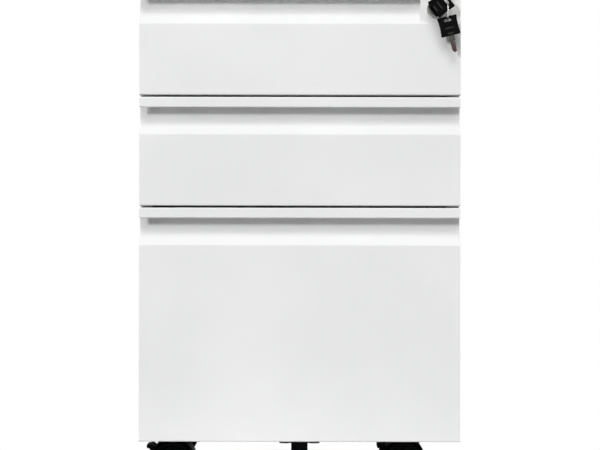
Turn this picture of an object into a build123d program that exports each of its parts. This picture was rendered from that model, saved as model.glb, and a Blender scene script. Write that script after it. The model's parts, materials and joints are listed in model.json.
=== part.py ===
import os
from math import cos, radians, sin, sqrt

from build123d import *

os.makedirs("parts", exist_ok=True)

# Overall size, in millimetres: +Z up, the fronts face -Y, the floor is Z = 0
width = 390.0
depth = 450.0
sheet = 0.8
bend = 1.5
front_drop = 6.0
front_gap = 2.5
box_front_height = 132.0
file_front_height = 284.0
top_edge_height = 20.5

# Drawer fronts, with distances below the top edge and behind the front face
front_thickness = 22.0
lip_height = 12.5
lip_fold = 3.0
lip_hem = 7.0
lip_radius = 1.2
pull_depth = 18.0
pull_height = 45.5
ramp_start = 29.5
pull_radius = 10.0
skin_gap = 4.0

# Carcass
carcass_gap = 1.5
side_return = 15.0
rear_return = 14.0
rear_step = 2.0
base_flange = 15.0
top_corner_radius = 3.0
top_edge_radius = 2.0
top_return = 12.0
top_rail_height = 14.0
top_rail_depth = 16.0
upright_width = 30.0
upright_setback = 12.0
upright_rear_setback = 40.0
bumper_radius = 4.0
bumper_rise = 20.0
bumper_play = 0.2
back_screw_count = 4
back_screw_margin = 30.0
back_screw_radius = 1.5
back_screw_head = 3.5
back_screw_head_height = 1.8
back_screw_length = 5.0
screw_play = 0.1

# Three-section slides
slide_thickness = 12.7
slide_height = 45.0
slide_sheet = 1.2
slide_length = 400.0
slide_setback = 2.5
race_gap = 2.8
web_gap = 1.6
lip_gap = 0.3
outer_lip = 10.5
ball_count = 4
ball_play = 0.3
cage_thickness = 0.8
cage_width = 4.0
cage_length = 190.0
cage_setback = 5.0
file_slide_rise = 60.0

# Drawer trays
tray_length = 400.0
tray_rise = 12.0
box_tray_drop = 40.0
file_tray_drop = 26.0
hem_height = 8.0
hem_thickness = 2.4

# Hanging rails for letter-size folders
rail_spacing = 310.0
rail_thickness = 2.0
rail_height = 16.0
rail_stand = 4.0
rail_play = 0.1

# Lock in the top drawer
lock_inset = 29.6
lock_drop = 27.0
housing_width = 49.0
housing_recess = 3.5
housing_clearance = 0.2
barrel_flange_radius = 11.25
barrel_flange = 4.0
barrel_chamfer = 1.2
barrel_radius = 9.0
barrel_length = 20.5
plug_radius = 6.45
running_play = 0.05
tail_radius = 3.0
crank_play = 0.3
crank_thickness = 2.0
crank_radius = 7.0
crank_turn = 45.0
crank_hub = 5.0
crank_pin_radius = 2.0
crank_pin_length = 5.7

# Lock bar, its hooks and the lugs that they hold
bar_side_gap = 2.2
bar_width = 9.0
bar_thickness = 2.0
bar_setback = 5.0
bar_arm_height = 12.0
bar_slot_play = 0.4
bar_tail = 12.0
hook_depth = 4.0
hook_height = 8.0
hook_play = 1.5
hook_tip_gap = 0.7
lug_width = 10.7
lug_depth = 6.0
lug_height = 10.0
lug_margin = 2.5
weld_gap = 0.05
guide_height = 16.0
guide_depth = 8.5
guide_play = 0.3
guide_rise = 70.0

# Folding keys: the head lies flat before the lock and points up to the right
key_stand = 12.5
key_head_width = 24.0
key_head_length = 23.4
key_head_thickness = 5.0
key_head_corner = 1.6
key_pivot_inset = 5.2
key_notch_width = 7.6
key_notch_depth = 3.0
key_pin_radius = 1.0
key_eye_radius = 2.4
key_neck_width = 7.0
key_neck_thickness = 3.0
key_shoulder_gap = 1.0
key_blade_width = 6.6
key_blade_tip = 5.2
key_blade_thickness = 2.0
key_blade_length = 15.0
key_slot_inset = 4.6
key_slot_length = 9.0
key_slot_width = 3.4
key_lean = 52.0
keyway_play = 0.2
keyway_depth = 18.0
ring_radius = 10.5
ring_wire = 1.4
ring_along_slot = 2.9
spare_tilt = 14.0
spare_sag = 0.4

# Twin-wheel casters, all trailing to -X
wheel_radius = 25.0
wheel_width = 14.0
wheel_edge = 2.0
wheel_gap = 0.6
hub_radius = 8.0
dish_radius = 18.5
dish_depth = 2.0
wheel_room = 1.2
hood_shell = 1.8
hood_overhang = 1.4
hood_headroom = 4.5
hood_floor = 17.0
web_half = 7.0
boss_radius = 6.5
boss_play = 0.5
trail = 14.0
caster_front_inset = 52.0
caster_rear_inset = 44.0
caster_front_setback = 75.0
caster_rear_setback = 62.0
plate_size = 42.0
plate_thickness = 2.5
king_pin_radius = 4.0
king_pin_length = 25.5
king_pin_end_gap = 0.5
axle_radius = 3.0
axle_head_radius = 4.5
axle_head = 1.0
axle_head_gap = 0.3
caster_screw_pitch = 31.0
caster_screw_radius = 2.0
caster_screw_head = 4.0
caster_screw_head_height = 2.2
caster_screw_length = 6.0

# Brake pedals on the front casters
pedal_barrel = 3.0
pedal_pin = 1.5
pedal_gap = 0.6
pedal_polar = 148.0
pedal_half = 15.8
pedal_reach = 32.4
pedal_thickness = 4.5
pedal_pad_lift = 0.9
pedal_edge = 1.0
ear_thickness = 3.0
ear_play = 0.6
finger_inner = 9.0
finger_outer = 15.0
finger_thickness = 2.8
finger_length = 10.3
finger_offset = 0.5
finger_play = 0.6
finger_slot_rise = 2.0
finger_slot_height = 10.5
brake_angle = 10.0

# Anti-tip wheel under the file drawer
antitip_radius = 20.0
antitip_clearance = 1.5
antitip_width = 15.0
antitip_side_gap = 0.5
antitip_edge = 2.0
antitip_setback = 24.0
antitip_axle_radius = 3.0
fork_thickness = 2.0
fork_boss = 7.0
crown_gap = 1.0
bracket_width = 49.0
bracket_sheet = 1.5
bracket_margin = 2.0
bracket_depth = 18.0
bolt_spacing = 36.0
bolt_radius = 2.5
bolt_head_radius = 5.5
bolt_head_height = 1.2
bolt_length = 7.0
bolt_dome = 0.6

# Heights of the stack, from the casters up
half = width / 2
hood_radius = wheel_radius + wheel_room + hood_shell
hood_half = web_half + wheel_gap + wheel_width + hood_overhang
plate_bottom = wheel_radius + hood_radius + hood_headroom
base_height = plate_bottom + plate_thickness
front_clearance = base_height - front_drop
file_bottom = front_clearance
file_top = file_bottom + file_front_height
middle_bottom = file_top + front_gap
middle_top = middle_bottom + box_front_height
top_bottom = middle_top + front_gap
top_top = top_bottom + box_front_height
skirt_bottom = top_top + front_gap
total_height = skirt_bottom + top_edge_height

# Depths: the key ring reaches farthest to the front, and the whole is centred on Y = 0
key_reach = key_stand + ring_radius + ring_wire / 2
front_y = (key_reach - depth) / 2
rear_y = front_y + depth
carcass_front = front_y + front_thickness + carcass_gap
carcass_rear = rear_y - rear_step
tray_front = front_y + front_thickness
tray_rear = tray_front + tray_length

# Trays end below the tops of their fronts; the box slides leave room for the lock's lugs
box_tray_height = box_front_height - tray_rise - box_tray_drop
file_tray_height = file_front_height - tray_rise - file_tray_drop
lug_stack = 2 * hook_play + hook_height + lug_height + lug_margin
box_slide_rise = box_tray_height - lug_stack - slide_height / 2

# Widths
opening_half = half - side_return
tray_half = opening_half - slide_thickness
lock_x = half - lock_inset

# Slope of the slanted face that leads out of the pull channel
slope = (pull_height - ramp_start) / pull_depth
slant = sqrt(1 + slope**2)


def ramp_level(behind):
    """Height of the slanted face against the top edge, at a distance behind the front."""
    return slope * (behind - sheet) + sheet * slant - pull_height


def slab(x0, x1, y0, y1, z0, z1, mode=Mode.ADD):
    with Locations(((x0 + x1) / 2, (y0 + y1) / 2, (z0 + z1) / 2)):
        Box(x1 - x0, y1 - y0, z1 - z0, mode=mode)


def rod(start, end, radius, mode=Mode.ADD):
    along = Vector(*end) - Vector(*start)
    with Locations(Plane(origin=Vector(*start) + along / 2, z_dir=along)):
        Cylinder(radius, along.length, mode=mode)


def save(piece, name):
    piece.part.label = name
    export_step(piece.part, f"parts/{name}.step")


# Side panels: folded sheet with front, rear and top returns
back_screw_span = skirt_bottom - base_height - 2 * back_screw_margin
back_screw_heights = [
    base_height + back_screw_margin + back_screw_span * i / (back_screw_count - 1)
    for i in range(back_screw_count)
]
back_screw_x = half - rear_return / 2

with BuildPart() as right_side:
    with BuildSketch(Plane.XY.offset(front_clearance)):
        with BuildLine():
            FilletPolyline(
                (opening_half, carcass_front),
                (half, carcass_front),
                (half, carcass_rear),
                (half - rear_return, carcass_rear),
                radius=bend,
            )
            offset(amount=sheet, side=Side.LEFT)
        make_face()
    extrude(amount=skirt_bottom - front_clearance)
    slab(opening_half, half - sheet, carcass_front + sheet, carcass_rear - sheet,
         skirt_bottom - sheet, skirt_bottom)
    for height in back_screw_heights:
        rod((back_screw_x, carcass_rear - sheet, height), (back_screw_x, carcass_rear, height),
            back_screw_radius + screw_play, Mode.SUBTRACT)
save(right_side, "right_side_panel")

with BuildPart() as left_side:
    mirror(right_side.part, about=Plane.YZ)
save(left_side, "left_side_panel")

# Back panel, inside the rear returns, and its screws
with BuildPart() as back_panel:
    slab(-half + bend, half - bend, carcass_rear - 2 * sheet, carcass_rear - sheet,
         front_clearance, skirt_bottom - sheet)
    for side in (-1, 1):
        for height in back_screw_heights:
            rod((side * back_screw_x, carcass_rear - 2 * sheet, height),
                (side * back_screw_x, carcass_rear - sheet, height),
                back_screw_radius + screw_play, Mode.SUBTRACT)
save(back_panel, "back_panel")

with BuildPart() as back_screws:
    for side in (-1, 1):
        for height in back_screw_heights:
            rod((side * back_screw_x, carcass_rear, height),
                (side * back_screw_x, carcass_rear + back_screw_head_height, height),
                back_screw_head)
    fillet(back_screws.edges().group_by(Axis.Y)[-1], back_screw_head_height / 2)
    for side in (-1, 1):
        for height in back_screw_heights:
            rod((side * back_screw_x, carcass_rear - back_screw_length, height),
                (side * back_screw_x, carcass_rear, height), back_screw_radius)
save(back_screws, "back_screws")

# Top panel: a shallow pan, open below, with a front return
with BuildPart() as top_panel:
    slab(-half, half, front_y, rear_y, skirt_bottom, total_height)
    fillet(top_panel.edges().filter_by(Axis.Z), top_corner_radius)
    fillet(top_panel.faces().sort_by(Axis.Z)[-1].edges(), top_edge_radius)
    offset(amount=-sheet, openings=top_panel.faces().sort_by(Axis.Z)[0])
    slab(-half + top_corner_radius, half - top_corner_radius, front_y + sheet / 2,
         front_y + top_return, skirt_bottom, skirt_bottom + sheet)
save(top_panel, "top_panel")

# Casters stand at the corners of the base
caster_front_x = half - caster_front_inset
caster_rear_x = half - caster_rear_inset
caster_front_y = front_y + caster_front_setback
caster_rear_y = carcass_rear - caster_rear_setback
caster_spots = [
    (-caster_front_x, caster_front_y),
    (caster_front_x, caster_front_y),
    (-caster_rear_x, caster_rear_y),
    (caster_rear_x, caster_rear_y),
]
caster_screw_spots = [
    (x + i * caster_screw_pitch / 2, y + j * caster_screw_pitch / 2)
    for x, y in caster_spots
    for i in (-1, 1)
    for j in (-1, 1)
]

# Base pan with raised side and rear flanges
with BuildPart() as base_pan:
    slab(-half + sheet, half - sheet, carcass_front + bend, carcass_rear - 2 * sheet,
         base_height, base_height + sheet)
    for side in (-1, 1):
        inner = side * (half - 2 * sheet)
        outer = side * (half - sheet)
        slab(min(inner, outer), max(inner, outer), carcass_front + bend, carcass_rear - 2 * sheet,
             base_height, base_height + base_flange)
    slab(-half + sheet, half - sheet, carcass_rear - 3 * sheet, carcass_rear - 2 * sheet,
         base_height, base_height + base_flange)
    for x, y in caster_screw_spots:
        rod((x, y, base_height), (x, y, base_height + sheet), caster_screw_radius + screw_play,
            Mode.SUBTRACT)
save(base_pan, "base_pan")

# Front rail under the top panel
top_rail_top = skirt_bottom - sheet
with BuildPart() as top_rail:
    slab(-half + bend, half - bend, carcass_front + sheet, carcass_front + 2 * sheet,
         top_rail_top - top_rail_height, top_rail_top)
    slab(-opening_half, opening_half, carcass_front + sheet, carcass_front + top_rail_depth,
         top_rail_top - top_rail_height, top_rail_top - top_rail_height + sheet)
save(top_rail, "front_top_rail")

# Slide uprights: channels against the sides
front_upright = carcass_front + upright_setback
rear_upright = carcass_rear - upright_rear_setback - upright_width
with BuildPart() as uprights:
    for start in (front_upright, rear_upright):
        with BuildSketch(Plane.XY.offset(base_height + base_flange)):
            with BuildLine():
                FilletPolyline(
                    (half - sheet, start),
                    (opening_half, start),
                    (opening_half, start + upright_width),
                    (half - sheet, start + upright_width),
                    radius=bend,
                )
                offset(amount=sheet, side=Side.RIGHT)
            make_face()
        extrude(amount=top_rail_top - base_height - base_flange)
    mirror(about=Plane.YZ)
save(uprights, "slide_uprights")

# Rubber bumpers between the fronts and the carcass
bumper_x = half - side_return / 2
with BuildPart() as bumpers:
    for bottom in (file_bottom, middle_bottom, top_bottom):
        for side in (-1, 1):
            rod((side * bumper_x, front_y + front_thickness + bumper_play, bottom + bumper_rise),
                (side * bumper_x, carcass_front, bottom + bumper_rise), bumper_radius)
save(bumpers, "drawer_bumpers")


# Slides: nested channels, a mirrored pair for each drawer
slide_front = carcass_front + slide_setback
slide_rear = slide_front + slide_length


def slide_pair(web_x, lip_x, half_height, centre):
    with BuildPart() as pair:
        with BuildSketch(Plane.XZ.offset(-slide_rear)):
            with BuildLine():
                FilletPolyline(
                    (lip_x, centre + half_height),
                    (web_x, centre + half_height),
                    (web_x, centre - half_height),
                    (lip_x, centre - half_height),
                    radius=bend,
                )
                offset(amount=slide_sheet, side=Side.RIGHT if web_x > lip_x else Side.LEFT)
            make_face()
        extrude(amount=slide_length)
        mirror(about=Plane.YZ)
    return pair


outer_half = slide_height / 2
middle_half = outer_half - slide_sheet - race_gap
inner_half = middle_half - slide_sheet - race_gap
middle_web = opening_half - slide_sheet - web_gap
inner_lip = middle_web - slide_sheet - web_gap

# Ball cages: the outer races hold them at the rear of the middle member, the inner at its front
ball_radius = race_gap / 2 - ball_play
ball_x = (opening_half - outer_lip + inner_lip) / 2
ball_pitch = cage_length / ball_count
outer_race = middle_half + race_gap / 2
inner_race = inner_half + race_gap / 2


def middle_pair(centre):
    lip_x = tray_half + slide_sheet + lip_gap
    with BuildPart() as pair:
        add(slide_pair(middle_web, lip_x, middle_half, centre).part)
        for race, start in (
            (outer_race, slide_rear - cage_setback - cage_length),
            (inner_race, slide_front + cage_setback),
        ):
            for x in (-ball_x, ball_x):
                for height in (centre - race, centre + race):
                    slab(x - cage_width / 2, x + cage_width / 2, start, start + cage_length,
                         height - cage_thickness / 2, height + cage_thickness / 2)
                    for i in range(ball_count):
                        with Locations((x, start + ball_pitch * (i + 1 / 2), height)):
                            Sphere(ball_radius)
    return pair


file_slide_z = file_bottom + tray_rise + file_slide_rise
middle_slide_z = middle_bottom + tray_rise + box_slide_rise
top_slide_z = top_bottom + tray_rise + box_slide_rise

for drawer, centre in (("top", top_slide_z), ("middle", middle_slide_z), ("file", file_slide_z)):
    save(slide_pair(opening_half, opening_half - outer_lip, outer_half, centre),
         f"{drawer}_slide_outers")
    save(middle_pair(centre), f"{drawer}_slide_middles")
    save(slide_pair(tray_half, inner_lip, inner_half, centre), f"{drawer}_slide_inners")

# Lock axis and the lock bar, which stands behind the right front return
lock_z = top_top - lock_drop
crank_x = lock_x - crank_radius * cos(radians(crank_turn))
crank_z = lock_z - crank_radius * sin(radians(crank_turn))
bar_y = carcass_front + bar_setback
bar_x1 = half - sheet - bar_side_gap
bar_x0 = bar_x1 - bar_width
lug_y = bar_y + hook_depth + hook_play


def hook_bottom(slide_z):
    """Height of a hook's lower face, just clear of the slide below it."""
    return slide_z + outer_half + hook_play


def lug_bottom(slide_z):
    """Height of a lug's lower face, just clear of the lowered hook."""
    return hook_bottom(slide_z) + hook_height + hook_play


# Drawer trays: open boxes with hemmed rims and a lug for the lock on the right
def open_tray(bottom, height, slide_z):
    rim = bottom + height
    with BuildPart() as tray:
        slab(-tray_half, tray_half, tray_front, tray_rear, bottom, rim)
        slab(-tray_half + sheet, tray_half - sheet, tray_front + sheet, tray_rear - sheet,
             bottom + sheet, rim - hem_height, Mode.SUBTRACT)
        slab(-tray_half + hem_thickness, tray_half - hem_thickness, tray_front + hem_thickness,
             tray_rear - hem_thickness, rim - hem_height, rim, Mode.SUBTRACT)
        slab(tray_half + weld_gap, tray_half + lug_width, lug_y, lug_y + lug_depth,
             lug_bottom(slide_z), lug_bottom(slide_z) + lug_height)
    return tray


save(open_tray(top_bottom + tray_rise, box_tray_height, top_slide_z), "top_tray")
save(open_tray(middle_bottom + tray_rise, box_tray_height, middle_slide_z), "middle_tray")

# The file tray's end walls are notched for the hanging rails
file_rim = file_bottom + tray_rise + file_tray_height
rail_top = file_rim + rail_stand
rail_half = rail_thickness / 2
with BuildPart() as file_tray:
    add(open_tray(file_bottom + tray_rise, file_tray_height, file_slide_z).part)
    for side in (-1, 1):
        rail_x = side * rail_spacing / 2
        slab(rail_x - rail_half - rail_play, rail_x + rail_half + rail_play, tray_front, tray_rear,
             rail_top - rail_height, file_rim, Mode.SUBTRACT)
save(file_tray, "file_tray")

with BuildPart() as hanging_rails:
    for side in (-1, 1):
        rail_x = side * rail_spacing / 2
        slab(rail_x - rail_half, rail_x + rail_half, tray_front, tray_rear,
             rail_top - rail_height, rail_top)
    fillet(hanging_rails.edges().filter_by(Axis.Y).group_by(Axis.Z)[-1], rail_half / 2)
save(hanging_rails, "hanging_rails")


# Drawer fronts: one folded sheet, closed at its ends below the pull channel
def front_panel(top, height):
    bottom = top - height
    back = front_y + front_thickness
    with BuildPart() as panel:
        with BuildSketch(Plane.YZ):
            with BuildLine():
                FilletPolyline(
                    (front_y + lip_fold, top - lip_height + lip_hem),
                    (front_y + lip_fold, top - lip_height),
                    (front_y, top - lip_height),
                    (front_y, top),
                    (front_y + pull_depth + sheet, top),
                    (front_y + pull_depth + sheet, top - ramp_start),
                    (front_y + sheet, top - pull_height),
                    (front_y + sheet, bottom + sheet),
                    (back - sheet, bottom + sheet),
                    (back - sheet, top - ramp_start - skin_gap),
                    radius=[lip_radius, lip_radius, bend, bend, pull_radius, bend,
                            bend - sheet, bend - sheet],
                )
                offset(amount=sheet, side=Side.RIGHT)
            make_face()
        extrude(amount=half, both=True)
        for side in (-1, 1):
            with BuildSketch(Plane.YZ.offset(side * half)):
                with BuildLine():
                    Polyline(
                        (front_y + sheet, top - pull_height),
                        (front_y + sheet, bottom + sheet),
                        (back, bottom + sheet),
                        (back, top - ramp_start),
                        (front_y + pull_depth + sheet, top - ramp_start),
                        close=True,
                    )
                make_face()
            extrude(amount=-side * sheet)
    return panel


with BuildPart() as top_front:
    add(front_panel(top_top, box_front_height).part)
    rod((lock_x, front_y + lip_fold, lock_z), (lock_x, front_y + front_thickness, lock_z),
        barrel_radius + screw_play, Mode.SUBTRACT)
save(top_front, "top_front")
save(front_panel(middle_top, box_front_height), "middle_front")

# The file front takes the bolts of the anti-tip bracket in its lower return
bolt_y = front_y + bracket_margin + bracket_depth / 2
with BuildPart() as file_front:
    add(front_panel(file_top, file_front_height).part)
    for side in (-1, 1):
        bolt_x = side * bolt_spacing / 2
        rod((bolt_x, bolt_y, file_bottom), (bolt_x, bolt_y, file_bottom + sheet),
            bolt_radius + screw_play, Mode.SUBTRACT)
save(file_front, "file_front")

# Lock housing: a block that fills the section of the pull channel at its right end
housing_shelf = top_top - sheet - housing_clearance
housing_back = pull_depth - housing_clearance
housing_lift = housing_clearance * slant
barrel_front = front_y + housing_recess - barrel_flange
barrel_shoulder = front_y + housing_recess
barrel_rear = barrel_shoulder + barrel_length
with BuildPart() as lock_housing:
    with BuildSketch(Plane.YZ.offset(half)):
        with BuildLine():
            FilletPolyline(
                (front_y + housing_recess, housing_shelf),
                (front_y + housing_back, housing_shelf),
                (front_y + housing_back, top_top + ramp_level(housing_back) + housing_lift),
                (front_y + housing_recess, top_top + ramp_level(housing_recess) + housing_lift),
                radius=[0, bend, pull_radius - sheet - housing_clearance, 0],
                close=True,
            )
        make_face()
    extrude(amount=-housing_width)
    rod((lock_x, barrel_shoulder, lock_z), (lock_x, front_y + pull_depth, lock_z),
        barrel_radius + screw_play, Mode.SUBTRACT)
save(lock_housing, "lock_housing")

# Lock barrel, plug and crank
with BuildPart() as lock_barrel:
    rod((lock_x, barrel_front, lock_z), (lock_x, barrel_shoulder, lock_z), barrel_flange_radius)
    chamfer(lock_barrel.edges().group_by(Axis.Y)[0], barrel_chamfer)
    rod((lock_x, barrel_shoulder, lock_z), (lock_x, barrel_rear, lock_z), barrel_radius)
    rod((lock_x, barrel_front, lock_z), (lock_x, barrel_rear, lock_z), plug_radius + running_play,
        Mode.SUBTRACT)
save(lock_barrel, "lock_barrel")

# Directions of the key: across its width, and along its folded head
key_across = Vector(cos(radians(key_lean)), 0, -sin(radians(key_lean)))
key_along = Vector(sin(radians(key_lean)), 0, cos(radians(key_lean)))
toward_viewer = Vector(0, -1, 0)
key_pivot = Vector(lock_x, front_y - key_stand, lock_z)

crank_front = barrel_rear + crank_play
crank_rear = crank_front + crank_thickness
with BuildPart() as lock_plug:
    rod((lock_x, barrel_front, lock_z), (lock_x, crank_front, lock_z), plug_radius)
    rod((lock_x, crank_front, lock_z), (lock_x, crank_rear, lock_z), tail_radius)
    with BuildSketch(Plane(origin=(lock_x, barrel_front, lock_z), x_dir=key_across,
                           z_dir=-toward_viewer)):
        Rectangle(key_blade_width + 2 * keyway_play, key_blade_thickness + 2 * keyway_play)
    extrude(amount=keyway_depth, mode=Mode.SUBTRACT)
save(lock_plug, "lock_plug")

with BuildPart() as lock_crank:
    with BuildSketch(Plane.XZ.offset(-crank_rear)):
        with Locations(((lock_x + crank_x) / 2, (lock_z + crank_z) / 2)):
            SlotCenterToCenter(crank_radius, 2 * crank_hub, rotation=crank_turn)
    extrude(amount=crank_thickness)
    rod((lock_x, crank_front, lock_z), (lock_x, crank_rear, lock_z), tail_radius, Mode.SUBTRACT)
    rod((crank_x, crank_rear, crank_z), (crank_x, crank_rear + crank_pin_length, crank_z),
        crank_pin_radius)
save(lock_crank, "lock_crank")

# Lock bar: upright strip, an arm slotted for the crank pin and a hook for each drawer
slot_half = crank_pin_radius + bar_slot_play
arm_x0 = lock_x - crank_radius - slot_half - bar_arm_height / 2
arm_z0 = crank_z - bar_arm_height / 2
arm_z1 = crank_z + bar_arm_height / 2
bar_bottom = hook_bottom(file_slide_z) - bar_tail
with BuildPart() as lock_bar:
    slab(bar_x0, bar_x1, bar_y, bar_y + bar_thickness, bar_bottom, arm_z1)
    slab(arm_x0, bar_x0 - weld_gap, bar_y, bar_y + bar_thickness, arm_z0, arm_z1)
    slab(lock_x - crank_radius - slot_half, crank_x + slot_half, bar_y, bar_y + bar_thickness,
         crank_z - slot_half, crank_z + slot_half, Mode.SUBTRACT)
    for slide_z in (file_slide_z, middle_slide_z, top_slide_z):
        slab(tray_half + hook_tip_gap, bar_x0 - weld_gap, bar_y, bar_y + hook_depth,
             hook_bottom(slide_z), hook_bottom(slide_z) + hook_height)
save(lock_bar, "lock_bar")

with BuildPart() as guides:
    for slide_z in (file_slide_z, middle_slide_z):
        low = hook_bottom(slide_z) + guide_rise
        slab(bar_x0 - 2 * guide_play, half - bend, carcass_front + sheet,
             carcass_front + sheet + guide_depth, low, low + guide_height)
        slab(bar_x0 - guide_play, bar_x1 + guide_play, bar_y - guide_play,
             bar_y + bar_thickness + guide_play, low, low + guide_height, Mode.SUBTRACT)
save(guides, "lock_bar_guides")


# Keys: a blade that starts at the fold pin, and a head that is notched round it
def key_blade(pivot, across, normal):
    neck = key_stand - (front_y - barrel_front) - key_shoulder_gap
    plane = Plane(origin=pivot, x_dir=across, z_dir=normal)
    with BuildPart() as blade:
        with BuildSketch(plane):
            with Locations((0, neck / 2)):
                Rectangle(key_neck_width, neck)
        extrude(amount=key_neck_thickness / 2, both=True)
        with BuildSketch(plane):
            with BuildLine():
                Polyline(
                    (-key_blade_width / 2, neck),
                    (-key_blade_tip / 2, neck + key_blade_length),
                    (key_blade_tip / 2, neck + key_blade_length),
                    (key_blade_width / 2, neck),
                    close=True,
                )
            make_face()
        extrude(amount=key_blade_thickness / 2, both=True)
        eye = across * (key_neck_width / 2)
        rod(pivot - eye, pivot + eye, key_eye_radius)
        rod(pivot - eye, pivot + eye, key_pin_radius + running_play, Mode.SUBTRACT)
    return blade


def key_head(pivot, across):
    plane = Plane(origin=pivot, x_dir=across, z_dir=toward_viewer)
    with BuildPart() as head:
        with BuildSketch(plane):
            with Locations((0, key_head_length / 2 - key_pivot_inset)):
                RectangleRounded(key_head_width, key_head_length, key_head_corner)
            with Locations((0, key_head_length - key_pivot_inset - key_slot_inset)):
                SlotOverall(key_slot_length, key_slot_width, mode=Mode.SUBTRACT)
            with Locations((0, (key_notch_depth - key_pivot_inset) / 2)):
                Rectangle(key_notch_width, key_notch_depth + key_pivot_inset, mode=Mode.SUBTRACT)
        extrude(amount=key_head_thickness / 2, both=True)
        pin = across * (key_notch_width / 2)
        rod(pivot - pin, pivot + pin, key_pin_radius)
    return head


slot_from_pivot = key_head_length - key_pivot_inset - key_slot_inset
ring_top = key_pivot + key_along * slot_from_pivot + key_across * ring_along_slot
ring_centre = ring_top - Vector(0, 0, ring_radius)
ring_bottom = ring_centre - Vector(0, 0, ring_radius)
save(key_blade(key_pivot, key_across, key_along), "key_blade")
save(key_head(key_pivot, key_across), "key_head")

with BuildPart() as key_ring:
    with Locations(Plane(origin=ring_centre, z_dir=(1, 0, 0))):
        Torus(ring_radius, ring_wire / 2)
save(key_ring, "key_ring")

spare_across = Vector(cos(radians(spare_tilt)), 0, sin(radians(spare_tilt)))
spare_along = Vector(-sin(radians(spare_tilt)), 0, cos(radians(spare_tilt)))
spare_pivot = ring_bottom - spare_along * (slot_from_pivot + spare_sag)
save(key_blade(spare_pivot, spare_across, -toward_viewer), "spare_key_blade")
save(key_head(spare_pivot, spare_across), "spare_key_head")

# Caster plates with their king pins, and the screws that hold them
with BuildPart() as plates:
    for x, y in caster_spots:
        slab(x - plate_size / 2, x + plate_size / 2, y - plate_size / 2, y + plate_size / 2,
             plate_bottom, base_height)
    fillet(plates.edges().filter_by(Axis.Z), plate_thickness)
    for x, y in caster_spots:
        rod((x, y, plate_bottom - king_pin_length), (x, y, plate_bottom), king_pin_radius)
    for x, y in caster_screw_spots:
        rod((x, y, plate_bottom), (x, y, base_height), caster_screw_radius + screw_play,
            Mode.SUBTRACT)
save(plates, "caster_plates")

with BuildPart() as caster_screws:
    for x, y in caster_screw_spots:
        rod((x, y, plate_bottom - caster_screw_head_height), (x, y, plate_bottom),
            caster_screw_head)
    fillet(caster_screws.edges().group_by(Axis.Z)[0], caster_screw_head_height / 2)
    for x, y in caster_screw_spots:
        rod((x, y, plate_bottom), (x, y, plate_bottom + caster_screw_length), caster_screw_radius)
save(caster_screws, "caster_screws")

# Brake pivot against the axle, on the trailing side of the hood
pivot_radius = hood_radius + pedal_barrel + pedal_gap
pivot_out = Vector(cos(radians(pedal_polar)), 0, sin(radians(pedal_polar)))
ear_root = hood_radius - hood_shell / 2
ear_inner = pedal_half + ear_play
ear_outer = ear_inner + ear_thickness
boss_top = plate_bottom - boss_play


# One caster: hood with its web and boss, two wheels and the axle
def caster_hood(x, y, braked):
    axle = Vector(x - trail, y, wheel_radius)
    out = Vector(0, hood_half, 0)
    with BuildPart() as hood:
        rod(axle - out, axle + out, hood_radius)
        rod((x, y, wheel_radius), (x, y, boss_top), boss_radius)
        slab(axle.X - hood_radius, axle.X + hood_radius, y - hood_half, y + hood_half,
             wheel_radius - hood_radius, hood_floor, Mode.SUBTRACT)
        for side in (-1, 1):
            rod(axle + Vector(0, side * web_half, 0), axle + out * side, hood_radius - hood_shell,
                Mode.SUBTRACT)
        rod((x, y, plate_bottom - king_pin_length - king_pin_end_gap), (x, y, boss_top),
            king_pin_radius + running_play, Mode.SUBTRACT)
        rod(axle - out, axle + out, axle_radius, Mode.SUBTRACT)
        if braked:
            pivot = axle + pivot_out * pivot_radius
            for side in (-1, 1):
                ear_y = side * (ear_inner + ear_outer) / 2
                spot = axle + pivot_out * ((ear_root + pivot_radius) / 2) + Vector(0, ear_y, 0)
                with Locations(Plane(origin=spot, x_dir=pivot_out, z_dir=(0, 1, 0))):
                    Box(pivot_radius - ear_root, 2 * pedal_barrel, ear_thickness)
                rod(pivot + Vector(0, side * ear_inner, 0), pivot + Vector(0, side * ear_outer, 0),
                    pedal_barrel)
                slot_a = side * (finger_inner - finger_play)
                slot_b = side * (finger_outer + finger_play)
                slab(axle.X - hood_radius, axle.X - hood_radius / 2, y + min(slot_a, slot_b),
                     y + max(slot_a, slot_b), wheel_radius + finger_slot_rise,
                     wheel_radius + finger_slot_rise + finger_slot_height, Mode.SUBTRACT)
            rod(pivot - Vector(0, ear_inner, 0), pivot + Vector(0, ear_inner, 0), pedal_pin)
    return hood


def caster_wheels(x, y):
    axle = Vector(x - trail, y, wheel_radius)
    near = web_half + wheel_gap
    with BuildPart() as wheels:
        for side in (-1, 1):
            inner = axle + Vector(0, side * near, 0)
            outer = axle + Vector(0, side * (near + wheel_width), 0)
            rod(inner, outer, wheel_radius)
        fillet(wheels.edges(), wheel_edge)
        for side in (-1, 1):
            inner = axle + Vector(0, side * near, 0)
            outer = axle + Vector(0, side * (near + wheel_width), 0)
            dish = axle + Vector(0, side * (near + wheel_width - dish_depth), 0)
            rod(dish, outer, dish_radius, Mode.SUBTRACT)
            rod(dish, outer, hub_radius)
            rod(inner, outer, axle_radius + running_play, Mode.SUBTRACT)
    return wheels


def caster_axle(x, y):
    axle = Vector(x - trail, y, wheel_radius)
    reach = web_half + wheel_gap + wheel_width + axle_head_gap
    with BuildPart() as pin:
        rod(axle - Vector(0, reach, 0), axle + Vector(0, reach, 0), axle_radius)
        for side in (-1, 1):
            rod(axle + Vector(0, side * reach, 0), axle + Vector(0, side * (reach + axle_head), 0),
                axle_head_radius)
    return pin


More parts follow.
